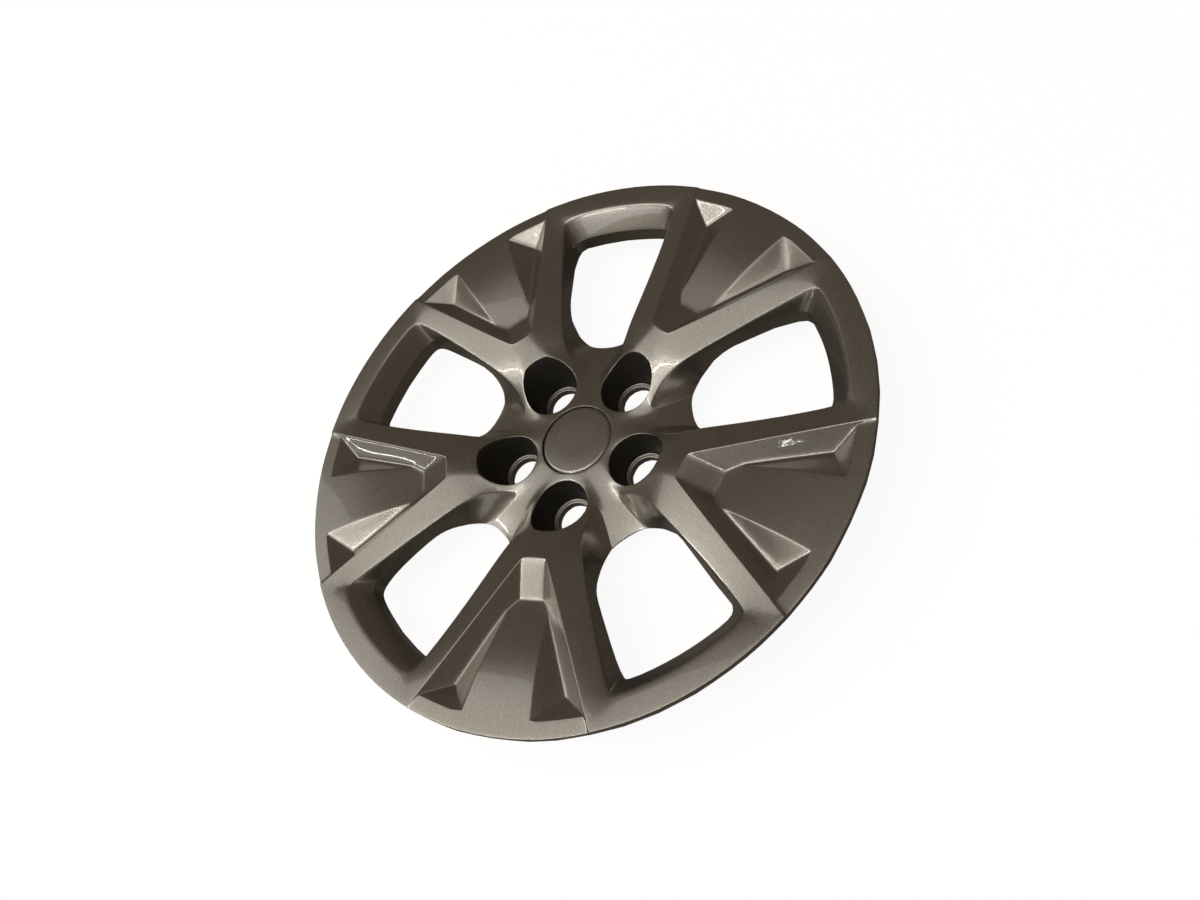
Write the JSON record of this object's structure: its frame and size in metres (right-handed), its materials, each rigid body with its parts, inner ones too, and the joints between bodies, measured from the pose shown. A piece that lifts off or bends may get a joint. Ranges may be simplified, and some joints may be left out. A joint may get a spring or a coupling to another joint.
{
  "type": "wheel cover",
  "caption": "Round moulded wheel cover with double spokes, open windows, deep nut wells and a plain centre disc, held on the wheel by a sprung wire ring behind its rim.",
  "frame": {"origin": "on the wheel's axis, in the plane of the nut wells' rear rings on which the cover lies face up", "axes": "+Z along the wheel's axis, out of the cover's face; +X along the middle of one double spoke"},
  "size_m": [0.43, 0.43, 0.048],
  "materials": {
    "painted_cover": "glossy bronze-grey metallic paint",
    "painted_cap": "glossy bronze-grey metallic paint",
    "spring_wire": "bright drawn wire"
  },
  "bodies": {
    "root": {"cover_shell": "painted_cover", "centre_cap": "painted_cap", "retaining_ring": "spring_wire"}
  },
  "joints": []
}
